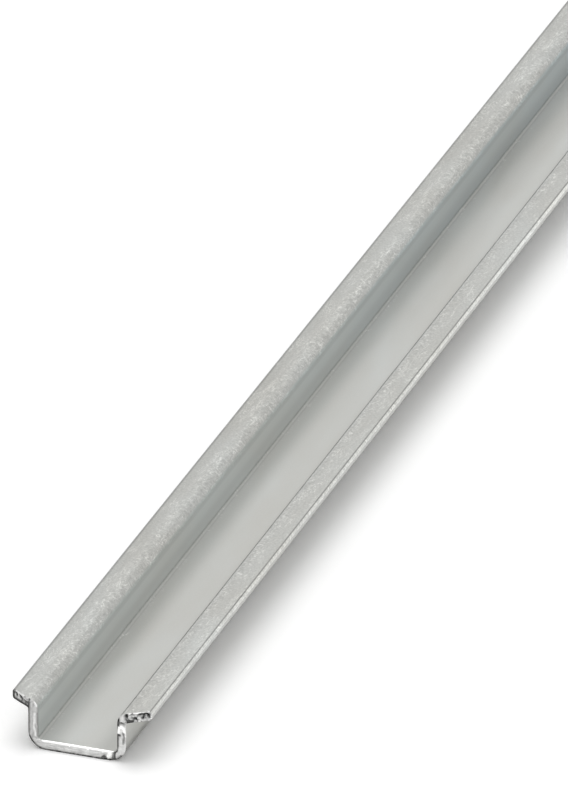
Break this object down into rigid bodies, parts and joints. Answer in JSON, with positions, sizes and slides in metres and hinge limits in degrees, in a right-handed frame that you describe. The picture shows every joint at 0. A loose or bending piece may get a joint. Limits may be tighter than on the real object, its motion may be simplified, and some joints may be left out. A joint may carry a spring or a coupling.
{
  "type": "din rail",
  "caption": "Slim top-hat steel mounting rail: a plain open channel with outward flanges that clip-on terminals and devices hook behind.",
  "frame": {"origin": "middle of the channel's back face, which the rail lies on and is screwed down by", "axes": "+X along the rail, +Y across it, +Z out of the back towards the open side of the channel"},
  "size_m": [1, 0.015, 0.0055],
  "materials": {
    "zinc_plated_steel": "matt zinc plating with a fine mottle, bare steel at the sheared ends"
  },
  "bodies": {
    "root": {"rail": "zinc_plated_steel"}
  },
  "joints": []
}
